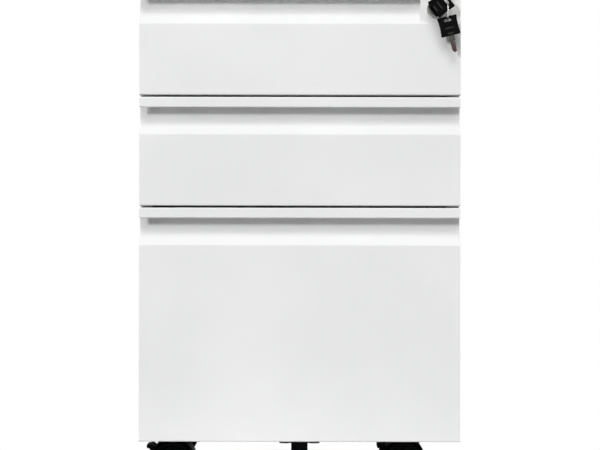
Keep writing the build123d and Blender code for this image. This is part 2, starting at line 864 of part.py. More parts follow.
# A pedal turns on the pin between the ears; its two fingers reach to the wheels' treads
def brake_pedal(x, y, pressed):
    axle = Vector(x - trail, y, wheel_radius)
    pivot = axle + pivot_out * pivot_radius
    pad_x0 = axle.X - pedal_reach
    pad_z0 = pivot.Z - pedal_thickness / 2 + pedal_pad_lift
    with BuildPart() as raised:
        slab(pad_x0, pivot.X, y - pedal_half, y + pedal_half, pad_z0, pad_z0 + pedal_thickness)
        fillet(raised.edges().group_by(Axis.X)[0], pedal_edge)
        rod(pivot - Vector(0, pedal_half, 0), pivot + Vector(0, pedal_half, 0), pedal_barrel)
        for side in (-1, 1):
            near = side * finger_inner
            far = side * finger_outer
            slab(pivot.X + finger_offset - finger_thickness, pivot.X + finger_offset,
                 y + min(near, far), y + max(near, far), pivot.Z - finger_length, pivot.Z)
        rod(pivot - Vector(0, pedal_half, 0), pivot + Vector(0, pedal_half, 0),
            pedal_pin + running_play, Mode.SUBTRACT)
    with BuildPart() as pedal:
        add(raised.part.rotate(Axis(pivot, (0, -1, 0)), brake_angle if pressed else 0))
    return pedal


corner_names = ("front_left", "front_right", "rear_left", "rear_right")
for corner, (x, y) in zip(corner_names, caster_spots):
    braked = corner.startswith("front")
    save(caster_hood(x, y, braked), f"{corner}_caster_hood")
    save(caster_wheels(x, y), f"{corner}_caster_wheels")
    save(caster_axle(x, y), f"{corner}_caster_axle")
    if braked:
        save(brake_pedal(x, y, corner == "front_left"), f"{corner}_brake_pedal")

# Anti-tip wheel: a bracket under the file front, with a fork for the wheel
antitip_y = front_y + antitip_setback
antitip_z = antitip_clearance + antitip_radius
bracket_front = front_y + bracket_margin
bracket_rear = bracket_front + bracket_depth
bracket_bottom = file_bottom - bracket_sheet
cheek_inner = antitip_width / 2 + antitip_side_gap
cheek_outer = cheek_inner + fork_thickness
cheek_top = file_bottom - bracket_sheet / 2
crown_bottom = antitip_z + antitip_radius + crown_gap
crown_share = (cheek_top - crown_bottom) / (cheek_top - antitip_z)
crown_front = bracket_front + crown_share * (antitip_y - fork_boss - bracket_front)
crown_rear = bracket_rear + crown_share * (antitip_y + fork_boss - bracket_rear)
with BuildPart() as bracket:
    slab(-bracket_width / 2, bracket_width / 2, bracket_front, bracket_rear, bracket_bottom,
         file_bottom)
    for side in (-1, 1):
        bolt_x = side * bolt_spacing / 2
        rod((bolt_x, bolt_y, bracket_bottom), (bolt_x, bolt_y, file_bottom),
            bolt_radius + screw_play, Mode.SUBTRACT)
        with BuildSketch(Plane.YZ.offset(side * cheek_inner)):
            with BuildLine():
                Polyline(
                    (bracket_front, cheek_top),
                    (bracket_rear, cheek_top),
                    (antitip_y + fork_boss, antitip_z),
                    (antitip_y - fork_boss, antitip_z),
                    close=True,
                )
            make_face()
            with Locations((antitip_y, antitip_z)):
                Circle(fork_boss)
                Circle(antitip_axle_radius, mode=Mode.SUBTRACT)
        extrude(amount=side * fork_thickness)
    with BuildSketch(Plane.YZ.offset(-cheek_outer)):
        with BuildLine():
            Polyline(
                (bracket_front, cheek_top),
                (bracket_rear, cheek_top),
                (crown_rear, crown_bottom),
                (crown_front, crown_bottom),
                close=True,
            )
        make_face()
    extrude(amount=2 * cheek_outer)
save(bracket, "antitip_bracket")

with BuildPart() as bolts:
    for side in (-1, 1):
        bolt_x = side * bolt_spacing / 2
        rod((bolt_x, bolt_y, bracket_bottom - bolt_head_height), (bolt_x, bolt_y, bracket_bottom),
            bolt_head_radius)
    fillet(bolts.edges().group_by(Axis.Z)[0], bolt_dome)
    for side in (-1, 1):
        bolt_x = side * bolt_spacing / 2
        rod((bolt_x, bolt_y, bracket_bottom), (bolt_x, bolt_y, bracket_bottom + bolt_length),
            bolt_radius)
save(bolts, "antitip_bolts")

with BuildPart() as antitip_axle:
    rod((-cheek_outer, antitip_y, antitip_z), (cheek_outer, antitip_y, antitip_z),
        antitip_axle_radius)
save(antitip_axle, "antitip_axle")

with BuildPart() as antitip_wheel:
    rod((-antitip_width / 2, antitip_y, antitip_z), (antitip_width / 2, antitip_y, antitip_z),
        antitip_radius)
    fillet(antitip_wheel.edges(), antitip_edge)
    rod((-antitip_width / 2, antitip_y, antitip_z), (antitip_width / 2, antitip_y, antitip_z),
        antitip_axle_radius + running_play, Mode.SUBTRACT)
save(antitip_wheel, "antitip_wheel")
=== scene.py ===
import json

import bmesh
import bpy
import numpy as np
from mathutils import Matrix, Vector


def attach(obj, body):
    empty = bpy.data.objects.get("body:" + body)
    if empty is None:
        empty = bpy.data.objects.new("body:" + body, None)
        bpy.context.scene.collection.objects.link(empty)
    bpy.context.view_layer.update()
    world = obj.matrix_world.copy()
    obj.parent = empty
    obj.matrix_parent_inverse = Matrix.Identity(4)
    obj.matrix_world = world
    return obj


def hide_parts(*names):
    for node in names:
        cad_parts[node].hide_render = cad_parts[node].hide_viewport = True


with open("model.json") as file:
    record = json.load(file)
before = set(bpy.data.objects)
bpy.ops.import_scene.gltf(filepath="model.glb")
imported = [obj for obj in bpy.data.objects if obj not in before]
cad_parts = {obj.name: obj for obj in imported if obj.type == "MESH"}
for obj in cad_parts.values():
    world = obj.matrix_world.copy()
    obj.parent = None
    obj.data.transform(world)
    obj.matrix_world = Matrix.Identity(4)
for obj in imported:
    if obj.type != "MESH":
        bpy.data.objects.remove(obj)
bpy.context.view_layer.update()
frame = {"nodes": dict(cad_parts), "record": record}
nodes = frame["nodes"]
mm = 0.001
# the radius that stands for a point on a turning axis, and the mean of a noise
tiny = 0.01
noiseMean = 0.5
# points closer than this become one
weld = 1e-6
print("frame loaded,", len(nodes), "nodes")


class Wire:
    # one output socket; an expression on wires adds its Math nodes
    def __init__(self, tree, socket):
        self.tree = tree
        self.socket = socket

    def maths(self, operation, first, second):
        node = self.tree.nodes.new("ShaderNodeMath")
        node.operation = operation
        feed(self.tree, node.inputs[0], first)
        feed(self.tree, node.inputs[1], second)
        return Wire(self.tree, node.outputs[0])

    def __add__(self, other):
        return self.maths("ADD", self, other)

    def __radd__(self, other):
        return self.maths("ADD", other, self)

    def __sub__(self, other):
        return self.maths("SUBTRACT", self, other)

    def __rsub__(self, other):
        return self.maths("SUBTRACT", other, self)

    def __mul__(self, other):
        return self.maths("MULTIPLY", self, other)

    def __rmul__(self, other):
        return self.maths("MULTIPLY", other, self)

    def __or__(self, other):
        return self.maths("MAXIMUM", self, other)


def feed(tree, socket, value):
    if isinstance(value, Wire):
        tree.links.new(value.socket, socket)
    else:
        socket.default_value = value


class Nodes:
    # the node tree of a material or of the world
    def __init__(self, owner):
        owner.use_nodes = True
        self.owner = owner
        self.tree = owner.node_tree

    def add(self, kind, settings={}, sockets={}, out=0):
        node = self.tree.nodes.new("ShaderNode" + kind)
        for key, value in settings.items():
            setattr(node, key, value)
        for key, value in sockets.items():
            feed(self.tree, node.inputs[key], value)
        return Wire(self.tree, node.outputs[out])

    def where(self, scale=(1, 1, 1), centre=(0, 0, 0), turn=(0, 0, 0)):
        # object coordinates, moved to a centre, turned and stretched
        spot = self.add("TexCoord", out="Object")
        spot = self.add("Mapping", {"vector_type": "TEXTURE"},
                        {"Vector": spot, "Location": centre, "Rotation": turn})
        return self.add("Mapping", {}, {"Vector": spot, "Scale": scale})

    def noise(self, where, scale, detail=2.0, rough=0.5):
        return self.add("TexNoise", {}, {"Vector": where, "Scale": scale, "Detail": detail,
                                         "Roughness": rough})

    def between(self, value, low, high):
        # 0 below low, 1 above high, smooth between them
        return self.add("MapRange", {"interpolation_type": "SMOOTHSTEP"},
                        {"Value": value, "From Min": low, "From Max": high})

    def mix(self, factor, first, second):
        return self.add("Mix", {"data_type": "RGBA"}, {0: factor, 6: first, 7: second}, 2)

    def bump(self, height, strength, depth):
        return self.add("Bump", {}, {"Height": height, "Strength": strength, "Distance": depth})

    def shade(self, sockets):
        shader = self.tree.nodes["Principled BSDF"]
        for key, value in sockets.items():
            feed(self.tree, shader.inputs[key], value)
        return self.owner


def newFinish(name):
    return Nodes(bpy.data.materials.new(name))


# powder coat: two close whites drift over the sheet, the orange peel is fine bump
coat = {"white": (0.84, 0.842, 0.843, 1), "shade": (0.80, 0.803, 0.806, 1),
        "drift": 5.0, "shadeFrom": (0.35, 0.7), "driftDull": 0.09,
        "peel": 620.0, "peelShare": 0.8, "peelDepth": 0.00012, "bump": 0.35,
        "grain": 2600.0, "grainDull": 0.05, "dull": 0.56, "shine": 0.22, "ior": 1.5}


def powderCoat():
    n = newFinish("powderCoat")
    spot = n.where()
    drift = n.noise(spot, coat["drift"], detail=3.0)
    peel = n.noise(spot, coat["peel"], detail=1.0)
    grain = n.noise(spot, coat["grain"], detail=1.0)
    skin = peel * coat["peelShare"] + grain * (1 - coat["peelShare"])
    return n.shade({
        "Base Color": n.mix(n.between(drift, *coat["shadeFrom"]), coat["white"], coat["shade"]),
        "Roughness": coat["dull"] + coat["driftDull"] * (drift - noiseMean)
        + coat["grainDull"] * (grain - noiseMean),
        "Normal": n.bump(skin, coat["bump"], coat["peelDepth"]),
        "IOR": coat["ior"],
        "Specular IOR Level": coat["shine"],
    })


# moulded white plastic: a fine spark-eroded grain, a little warmer than the paint
blockPlastic = {"white": (0.835, 0.832, 0.822, 1), "shade": (0.79, 0.787, 0.775, 1),
                "flow": 40.0, "shadeFrom": (0.3, 0.75), "grain": 3400.0, "grainDull": 0.1,
                "depth": 0.00006, "bump": 0.3, "dull": 0.42}


def mouldedWhite():
    look = blockPlastic
    n = newFinish("mouldedWhite")
    spot = n.where()
    flow = n.noise(spot, look["flow"])
    grain = n.noise(spot, look["grain"])
    return n.shade({
        "Base Color": n.mix(n.between(flow, *look["shadeFrom"]), look["white"], look["shade"]),
        "Roughness": look["dull"] + look["grainDull"] * (grain - noiseMean),
        "Normal": n.bump(grain, look["bump"], look["depth"]),
    })


# zinc plate: rolled streaks along Y under a cloudy bloom
zinc = {"bright": (0.66, 0.67, 0.68, 1), "bloom": (0.47, 0.48, 0.50, 1),
        "streak": (900, 14, 900), "streakDull": 0.12,
        "cloud": 55.0, "cloudFrom": (0.35, 0.7), "cloudDull": 0.14,
        "dull": 0.34, "bump": 0.12, "depth": 0.00005}


def zincPlate():
    n = newFinish("zincPlate")
    streak = n.noise(n.where(zinc["streak"]), 1.0, detail=3.0)
    cloud = n.between(n.noise(n.where(), zinc["cloud"], detail=4.0, rough=0.6), *zinc["cloudFrom"])
    return n.shade({
        "Base Color": n.mix(cloud, zinc["bright"], zinc["bloom"]),
        "Metallic": 1.0,
        "Roughness": zinc["dull"] + zinc["cloudDull"] * cloud
        + zinc["streakDull"] * (streak - noiseMean),
        "Normal": n.bump(streak, zinc["bump"], zinc["depth"]),
    })


# nickel plate: rings turned round the lock axis, with faint handling marks
# the lock's face and its rim are painted dark, a painted reflection of dark surroundings
nickel = {"bright": (0.77, 0.76, 0.735, 1), "marked": (0.6, 0.59, 0.565, 1),
          "rim": (0.24, 0.238, 0.23, 1), "face": (0.095, 0.094, 0.09, 1),
          "axis": (0.1654, 0.0, 0.580), "reflectionTo": (0.0078, 0.0104), "lockTo": (0.0113, 0.0117),
          "rings": 900.0, "waver": 0.6, "bump": 0.08, "depth": 0.00005,
          "marks": 900.0, "marksLong": (1, 0.2, 1), "marksFrom": (0.55, 0.75), "marksDull": 0.08,
          "dull": 0.1}


def nickelPlate():
    n = newFinish("nickelPlate")
    spot = n.where(centre=nickel["axis"], scale=(1, 0, 1))
    rings = n.add("TexWave", {"wave_type": "RINGS", "rings_direction": "SPHERICAL"},
                  {"Vector": spot, "Scale": nickel["rings"], "Distortion": nickel["waver"]}, 1)
    marks = n.noise(n.where(nickel["marksLong"]), nickel["marks"], detail=3.0)
    marks = n.between(marks, *nickel["marksFrom"])
    reach = n.add("VectorMath", {"operation": "LENGTH"}, {0: spot}, "Value")
    # painted reflection: the lock's face dark, turning lighter towards its rim
    turned = n.mix(n.between(reach, *nickel["reflectionTo"]), nickel["face"], nickel["rim"])
    polished = n.mix(marks, nickel["bright"], nickel["marked"])
    return n.shade({
        "Base Color": n.mix(n.between(reach, *nickel["lockTo"]), turned, polished),
        "Metallic": 1.0,
        "Roughness": nickel["dull"] + nickel["marksDull"] * marks,
        "Normal": n.bump(rings, nickel["bump"], nickel["depth"]),
    })


# key steel: greenish nickel silver, darker and brown towards the worn tip of the hanging blade
# the pale and dark base colours are far darker than nickel silver: a painted reflection of dark
# surroundings
keySteel = {"pale": (0.085, 0.088, 0.077, 1), "dark": (0.035, 0.036, 0.031, 1),
            "stain": 700.0, "stainFrom": (0.4, 0.7), "stained": 0.7, "stainDull": 0.15,
            "brown": (0.10, 0.045, 0.04, 1), "tip": (0.5285, 0.541), "browned": 0.7,
            "scratch": (300, 300, 3000), "scratchTurn": (0, 0.24, 0), "scratchDull": 0.1,
            "dull": 0.3, "bump": 0.15, "depth": 0.00004}


def nickelSilver():
    look = keySteel
    n = newFinish("nickelSilver")
    spot = n.where()
    height = n.add("SeparateXYZ", {}, {"Vector": spot}, 2)
    scratch = n.noise(n.where(look["scratch"], turn=look["scratchTurn"]), 1.0, detail=3.0)
    stain = n.between(n.noise(spot, look["stain"], detail=3.0), *look["stainFrom"])
    wearAndHighlight = 1 - n.between(height, *look["tip"])
    body = n.mix(stain * look["stained"], look["pale"], look["dark"])
    return n.shade({
        "Base Color": n.mix(wearAndHighlight * look["browned"], body, look["brown"]),
        "Metallic": 1.0,
        "Roughness": look["dull"] + look["stainDull"] * stain
        + look["scratchDull"] * (scratch - noiseMean),
        "Normal": n.bump(scratch, look["bump"], look["depth"]),
    })


# black plastics: grained skin, rubbed a little greyer where the noise stands high
blackSkin = {"patch": 160.0, "rubbedFrom": (0.48, 0.78), "rubbedDull": 0.12, "grainDull": 0.1,
             "bump": 0.4}
blacks = {
    "keyBlack": {"deep": (0.002, 0.002, 0.002, 1), "rubbed": (0.005, 0.005, 0.005, 1),
                 "grain": 4200.0, "depth": 0.00005, "dull": 0.4, "shine": 0.04,
                 # painted highlight: the grey for the raised bars on the key heads
                 "wearAndHighlight": (0.034, 0.034, 0.034, 1), "highlightFrom": (0.22822, 0.22848)},
    "hoodBlack": {"deep": (0.0015, 0.0015, 0.0018, 1), "rubbed": (0.004, 0.004, 0.0043, 1),
                  "grain": 2600.0, "depth": 0.0001, "dull": 0.55, "shine": 0.03},
    "wheelBlack": {"deep": (0.002, 0.002, 0.0022, 1), "rubbed": (0.006, 0.0058, 0.0055, 1),
                   "grain": 1500.0, "depth": 0.00008, "dull": 0.5, "shine": 0.03},
}


def blackPlastic(name):
    look = {**blackSkin, **blacks[name]}
    n = newFinish(name)
    spot = n.where()
    grain = n.noise(spot, look["grain"])
    rubbed = n.between(n.noise(spot, look["patch"], detail=4.0, rough=0.6), *look["rubbedFrom"])
    colour = n.mix(rubbed, look["deep"], look["rubbed"])
    if "wearAndHighlight" in look:
        # the bars on the front of the key heads are painted grey as a highlight, by how far they
        # stand towards -Y
        stand = n.add("SeparateXYZ", {}, {"Vector": spot}, 1)
        colour = n.mix(n.between(-1 * stand, *look["highlightFrom"]), colour, look["wearAndHighlight"])
    return n.shade({
        "Base Color": colour,
        "Roughness": look["dull"] + look["rubbedDull"] * rubbed
        + look["grainDull"] * (grain - noiseMean),
        "Normal": n.bump(grain, look["bump"], look["depth"]),
        "Specular IOR Level": look["shine"],
    })


# bumper rubber: grey, slightly dusty
bumperLook = {"grey": (0.36, 0.36, 0.355, 1), "dust": (0.52, 0.52, 0.51, 1), "patch": 420.0,
              "dustFrom": (0.4, 0.75), "dull": 0.7, "dustDull": 0.15, "bump": 0.2, "depth": 0.0001}


def bumperRubber():
    look = bumperLook
    n = newFinish("bumperRubber")
    dust = n.between(n.noise(n.where(), look["patch"], detail=3.0), *look["dustFrom"])
    return n.shade({
        "Base Color": n.mix(dust, look["grey"], look["dust"]),
        "Roughness": look["dull"] + look["dustDull"] * dust,
        "Normal": n.bump(dust, look["bump"], look["depth"]),
    })


finishes = {
    "white_paint": powderCoat(),
    "white_plastic": mouldedWhite(),
    "zinc_steel": zincPlate(),
    "chrome": nickelPlate(),
    "key_metal": nickelSilver(),
    "key_plastic": blackPlastic("keyBlack"),
    "black_plastic": blackPlastic("hoodBlack"),
    "black_nylon": blackPlastic("wheelBlack"),
    "rubber": bumperRubber(),
}
for subpart in frame["record"]["subparts"]:
    for place in nodes[subpart["node"]].material_slots:
        place.material = finishes[subpart["material_slot"]]


def gridFaces(points, closedU=False, closedV=False, caps=False):
    # neighbours of a (u, v) grid of points make quads; caps close the first and last ring
    count = points.shape[0] * points.shape[1]
    index = np.arange(count).reshape(points.shape[:2])
    rings = index
    if closedU:
        index = np.vstack([index, index[:1]])
    if closedV:
        index = np.hstack([index, index[:, :1]])
    quads = np.stack([index[:-1, :-1], index[1:, :-1], index[1:, 1:], index[:-1, 1:]], axis=-1)
    faces = quads.reshape(-1, 4).tolist()
    if caps:
        faces += [rings[0].tolist(), rings[-1][::-1].tolist()]
    return points.reshape(-1, 3), faces


def addPiece(name, shapes, body, slot, stands=(), smooth=40):
    # shapes are (points, faces) pairs that go into one mesh
    points = np.concatenate([shape[0] for shape in shapes])
    starts = np.cumsum([0] + [len(shape[0]) for shape in shapes[:-1]])
    faces = [[start + i for i in face] for start, shape in zip(starts.tolist(), shapes)
             for face in shape[1]]
    mesh = bpy.data.meshes.new(name)
    mesh.from_pydata(points.tolist(), [], faces)
    work = bmesh.new()
    work.from_mesh(mesh)
    bmesh.ops.remove_doubles(work, verts=work.verts, dist=weld)
    bmesh.ops.recalc_face_normals(work, faces=work.faces)
    work.to_mesh(mesh)
    work.free()
    mesh.polygons.foreach_set("use_smooth", np.ones(len(mesh.polygons), dtype=bool))
    mesh.set_sharp_from_angle(angle=np.radians(smooth))
    piece = bpy.data.objects.new(name, mesh)
    bpy.context.collection.objects.link(piece)
    mesh.materials.append(finishes[slot])
    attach(piece, body)
    if stands:
        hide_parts(*stands)
    print("piece", name, len(mesh.polygons), "faces")


def lathe(profile, centre, axis, side, steps, lift=None, closed=False):
    # centre + along * axis + radius * (cos t * side + sin t * (axis x side)), t round the axis
    axis, side = np.array(axis, float), np.array(side, float)
    along, radius = np.array(profile, float).T
    turn = np.linspace(0, 2 * np.pi, steps, endpoint=False)
    spread = along[:, None] + np.zeros(steps)
    if lift is not None:
        spread = spread + lift(radius[:, None], turn[None, :])
    round3 = np.cos(turn)[:, None] * side + np.sin(turn)[:, None] * np.cross(axis, side)
    points = np.array(centre) + spread[..., None] * axis + radius[:, None, None] * round3
    return gridFaces(points * mm, closedU=closed, closedV=True)


def sweep(path, section, across, up):
    # path point + section (s, t) as s * across + t * up, along the path, with closed ends
    points = (path[:, None] + section[None, :, :1] * across[:, None]
              + section[None, :, 1:] * up[:, None])
    return gridFaces(points * mm, closedV=True, caps=True)


def ellipse(a, b, steps):
    # (a cos t, b sin t)
    turn = np.linspace(0, 2 * np.pi, steps, endpoint=False)
    return np.stack([a * np.cos(turn), b * np.sin(turn)], axis=1)


def arcRun(centre, radius, start, end, steps):
    # profile points on an arc, in degrees, as (along, radius) pairs
    turn = np.radians(np.linspace(start, end, steps))
    return np.stack([centre[0] + radius * np.cos(turn), centre[1] + radius * np.sin(turn)], axis=1)


# caster wheels: crowned tread, round shoulders, a dished face with moulded spokes and a hub;
# steps are (depth under the outer face, radius past the dish rim, the hub or the hub's cap)
casterWheel = {"radius": 25.0, "near": 7.6, "far": 21.6, "bore": 3.05, "shoulder": 3.0,
               "crown": 0.3, "dishRim": 19.0, "rimSteps": ((0.0, 1.2), (0.5, 0.0)), "rimFall": 1.4,
               "dishDepth": 3.2, "dishInset": (2.0, 1.4),
               "hub": 8.0, "hubSteps": ((0.6, 0.0), (0.2, -0.5)),
               "cap": 6.2, "capSteps": ((0.2, 0.0), (0.7, -0.3)),
               "spokes": 8, "spokeTop": 1.6, "spokeSlope": 2.2, "spokeInset": (0.6, 1.2),
               "spokeFade": 0.6, "spokeSunk": 1.0}
casterAxles = {"front_left": (-157.0, -138.15), "front_right": (129.0, -138.15),
               "rear_left": (-165.0, 172.85), "rear_right": (137.0, 172.85)}
wheelSteps = 128


def casterWheelShape(x, y, side):
    w = casterWheel
    width = w["far"] - w["near"]
    edge = w["radius"] - w["crown"] - w["shoulder"]
    bed = width - w["dishDepth"]
    tread = np.linspace(w["shoulder"], width - w["shoulder"], 9)
    # the crown falls with the square of the distance from the middle of the tread
    crown = w["radius"] - w["crown"] * ((tread - width / 2) / (width / 2 - w["shoulder"])) ** 2
    dish = np.linspace(w["dishRim"] - w["dishInset"][0], w["hub"] + w["dishInset"][1], 12)
    profile = np.concatenate([
        [(0, w["bore"]), (0, edge)],
        arcRun((w["shoulder"], edge), w["shoulder"], 180, 90, 8)[1:-1],
        np.stack([tread, crown], axis=1),
        arcRun((width - w["shoulder"], edge), w["shoulder"], 90, 0, 8)[1:],
        [(width - deep, w["dishRim"] + out) for deep, out in w["rimSteps"]],
        [(bed, w["dishRim"] - w["rimFall"])],
        np.stack([np.full_like(dish, bed), dish], axis=1),
        [(width - deep, w["hub"] + out) for deep, out in w["hubSteps"]],
        [(width - deep, w["cap"] + out) for deep, out in w["capSteps"]],
        [(width - w["capSteps"][-1][0], w["bore"])],
    ])

    def spokes(radius, turn):
        # raised bars on the dish, at even turns, fading out at the hub and at the rim
        bar = w["spokeTop"] - np.abs(np.sin(turn * w["spokes"] / 2)) * radius / w["spokeSlope"]
        fromHub = (radius - w["hub"] - w["spokeInset"][0]) / w["spokeFade"]
        fromRim = (w["dishRim"] - w["spokeInset"][1] - radius) / w["spokeFade"]
        onDish = np.isclose(profile[:, :1], bed)
        high = w["dishDepth"] - w["spokeSunk"]
        return np.clip(bar, 0, 1) * np.clip(fromHub, 0, 1) * np.clip(fromRim, 0, 1) * onDish * high

    centre = (x, y + side * w["near"], w["radius"])
    return lathe(profile, centre, (0, side, 0), (1, 0, 0), wheelSteps, spokes, closed=True)


for corner, (x, y) in casterAxles.items():
    addPiece(corner + "_wheels_moulded", [casterWheelShape(x, y, side) for side in (-1, 1)],
             corner + "_wheels", "black_nylon", [corner + "_caster_wheels"])

# anti-tip wheel: a plain tyre with two grooves and a stepped hub; faceSteps are (depth, radius)
tipWheel = {"radius": 20.0, "width": 15.0, "bore": 3.05, "shoulder": 2.5,
            "groove": 0.5, "grooveAt": 2.6, "grooveWide": 0.45,
            "faceSteps": ((0.4, 15.5), (1.2, 14.8), (1.2, 8.4), (0.3, 7.8), (0.0, 7.2)),
            "centre": (0.0, -189.15, 21.5)}


def tipWheelShape():
    w = tipWheel
    half = w["width"] / 2
    edge = w["radius"] - w["shoulder"]
    tread = np.linspace(-half + w["shoulder"], half - w["shoulder"], 41)
    # each groove is a bell curve, exp of minus the square of the distance
    cut = np.exp(-((np.abs(tread) - w["grooveAt"]) / w["grooveWide"]) ** 2)
    face = np.array([(half - deep, out) for deep, out in w["faceSteps"]] + [(half, w["bore"])])
    profile = np.concatenate([
        face[::-1] * (-1, 1),
        arcRun((-half + w["shoulder"], edge), w["shoulder"], 180, 90, 8)[:-1],
        np.stack([tread, w["radius"] - w["groove"] * cut], axis=1),
        arcRun((half - w["shoulder"], edge), w["shoulder"], 90, 0, 8)[1:],
        face,
    ])
    return lathe(profile, w["centre"], (1, 0, 0), (0, 1, 0), wheelSteps, closed=True)


addPiece("antitip_wheel_moulded", [tipWheelShape()], "antitip_roller", "black_nylon",
         ["antitip_wheel"])

# keys: where the fold pins stand and how the keys lie
# (across the head, along the head, along the blade)
keyLie = {"lean": 52.0, "hang": 14.0, "lockPin": (165.4, -225.65, 580.0),
          "ringLow": (177.902, -225.65, 565.088), "ringToPin": 14.0}
lean, hang = np.radians(keyLie["lean"]), np.radians(keyLie["hang"])
inLock = {"pivot": np.array(keyLie["lockPin"]),
          "across": np.array([np.cos(lean), 0, -np.sin(lean)]),
          "along": np.array([np.sin(lean), 0, np.cos(lean)]),
          "blade": np.array([0, 1.0, 0])}
spareAlong = np.array([-np.sin(hang), 0, np.cos(hang)])
spare = {"pivot": np.array(keyLie["ringLow"]) - keyLie["ringToPin"] * spareAlong,
         "across": np.array([np.cos(hang), 0, np.sin(hang)]),
         "along": spareAlong,
         "blade": -spareAlong}
toViewer = np.array([0, -1.0, 0])

keyHead = {"half": 12.0, "low": -5.2, "high": 18.2, "corner": 1.4, "waist": 0.9, "waistReach": 0.8,
           "notchHalf": 3.8, "notchHigh": 3.0, "notchRound": 0.7, "thick": 2.5, "edge": 0.6,
           "slotAt": 13.6, "slotHalf": 4.5, "slotRound": 1.7}


def roundCorners(corners, radii, steps=9):
    # each corner becomes an arc that touches both of its sides
    run = []
    for before, corner, after, radius in zip(corners, corners[1:], corners[2:], radii):
        back, on = np.subtract(before, corner), np.subtract(after, corner)
        back, on = back / np.linalg.norm(back), on / np.linalg.norm(on)
        halfTurn = np.arccos(np.clip(back @ on, -1, 1)) / 2
        centre = corner + (back + on) / np.linalg.norm(back + on) * radius / np.sin(halfTurn)
        spread = np.linspace(-1, 1, steps) * (np.pi / 2 - halfTurn)
        inward = corner - centre
        inward = inward / np.linalg.norm(inward)
        swing = np.sign(back[0] * on[1] - back[1] * on[0])
        turned = np.array([-inward[1], inward[0]]) * -swing
        arc = np.cos(spread)[:, None] * inward + np.sin(spread)[:, None] * turned
        run.append(centre + radius * arc)
    return np.concatenate(run)


def loopInset(loop):
    # unit directions to the left of a closed loop
    along = np.roll(loop, -1, axis=0) - np.roll(loop, 1, axis=0)
    along /= np.linalg.norm(along, axis=1)[:, None]
    return np.stack([-along[:, 1], along[:, 0]], axis=1)


def headShape(key):
    k = keyHead
    top, upper, lower = (0, k["high"]), (k["half"], k["high"]), (k["half"], k["low"])
    mouth, inside = (k["notchHalf"], k["low"]), (k["notchHalf"], k["notchHigh"])
    bottom = (0, k["notchHigh"])
    t = np.linspace(k["waistReach"], -k["waistReach"], 11)
    # the long sides draw in towards their middles as 1 - t * t
    waist = np.stack([k["half"] - k["waist"] * (1 - t * t),
                      (k["high"] + k["low"]) / 2 + t * (k["high"] - k["low"]) / 2], axis=1)
    right = np.concatenate([
        [top], roundCorners([top, upper, lower], [k["corner"]]), waist,
        roundCorners([upper, lower, mouth, inside, bottom],
                     [k["corner"], k["notchRound"], k["notchRound"]]),
        [bottom]])
    loop = np.concatenate([right, right[-2:0:-1] * (-1, 1)])
    turn = np.linspace(0, np.pi, 21)
    cap = np.stack([k["slotHalf"] - k["slotRound"] + k["slotRound"] * np.sin(turn),
                    k["slotRound"] * np.cos(turn)], axis=1)
    slotRight = np.concatenate([[(0, k["slotRound"])], cap, [(0, -k["slotRound"])]])
    slotRight = slotRight + (0, k["slotAt"])
    hole = np.concatenate([slotRight, slotRight[-2:0:-1] * (-1, 1)])
    edge, thick = k["edge"], k["thick"]
    quarter = np.radians(np.linspace(0, 90, 5))
    inset = np.concatenate([edge * (1 - np.sin(quarter[::-1])), edge * (1 - np.cos(quarter))])
    level = np.concatenate([-thick + edge * (1 - np.cos(quarter[::-1])),
                            thick - edge * (1 - np.sin(quarter))])

    def wall(flat, way):
        # the edge profile (inset, level) carried round a flat loop
        spot = flat[None] + way * inset[:, None, None] * loopInset(flat)[None]
        points = key["pivot"] + spot[..., :1] * key["across"] + spot[..., 1:] * key["along"]
        return points + level[:, None, None] * toViewer

    outer, inner = wall(loop, -1), wall(hole, 1)
    nOuter, nInner = len(loop), len(hole)
    halfOuter, halfInner = nOuter // 2, nInner // 2
    points = np.concatenate([outer.reshape(-1, 3), inner.reshape(-1, 3)]) * mm
    faces = gridFaces(outer, closedV=True)[1]
    faces += [[len(level) * nOuter + i for i in face]
              for face in gridFaces(inner, closedV=True)[1]]
    for ring in (0, len(level) - 1):
        # the flat face is two halves, each from the outline round to the slot
        a = np.append(np.arange(nOuter), 0) + ring * nOuter
        b = np.append(np.arange(nInner), 0) + len(level) * nOuter + ring * nInner
        faces.append(a[: halfOuter + 1].tolist() + b[: halfInner + 1][::-1].tolist())
        faces.append(a[halfOuter:].tolist() + b[halfInner:][::-1].tolist())
    return points, faces


# the thin shield over the fold notch
keyCover = {"thick": 0.45, "lap": 0.5, "sunk": 0.02, "rimPower": 24, "steps": 25}


def coverShape(key):
    # a flat grid on the viewer's side, its rim turned back as max(|u|, |v|) to a high power
    k, c = keyHead, keyCover
    even = np.linspace(-1, 1, c["steps"])
    u, v = np.meshgrid(even, even, indexing="ij")
    rim = np.maximum(np.abs(u), np.abs(v)) ** c["rimPower"]
    high, level = k["notchHigh"] + c["lap"], k["thick"] - c["sunk"]
    across = key["across"] * (u * (k["notchHalf"] + c["lap"]))[..., None]
    along = key["along"] * ((k["low"] + high) / 2 + v * (high - k["low"]) / 2)[..., None]
    front = key["pivot"] + across + along + toViewer * (level - c["thick"] * rim)[..., None]
    back = key["pivot"] + across + along + toViewer * (level - c["thick"])
    return gridFaces(np.concatenate([front, back[::-1]]) * mm, closedU=True)


# raised bars on the heads: (place along the head, half length, viewer's side 1 or back -1)
keyRidges = {"bars": ((3.9, 6.2, 1), (-2.6, 4.4, 1), (5.6, 6.2, -1)), "wide": 1.1, "high": 0.45,
             "sunk": 0.05, "endPower": 8}


def ridgeShape(key, at, reach, way):
    # a low bar: half an ellipse carried along the head's width and drawn in at its ends
    r = keyRidges
    u = np.linspace(-1, 1, 15)
    v = np.linspace(0, np.pi, 9)
    swell = np.sqrt(np.clip(1 - u ** r["endPower"], 0, 1))[:, None]
    across = key["across"] * (u * reach)[:, None, None]
    along = key["along"] * (at + r["wide"] * np.cos(v) * swell)[..., None]
    level = keyHead["thick"] - r["sunk"] + r["high"] * np.sin(v) * swell
    return gridFaces((key["pivot"] + across + along + toViewer * way * level[..., None]) * mm)


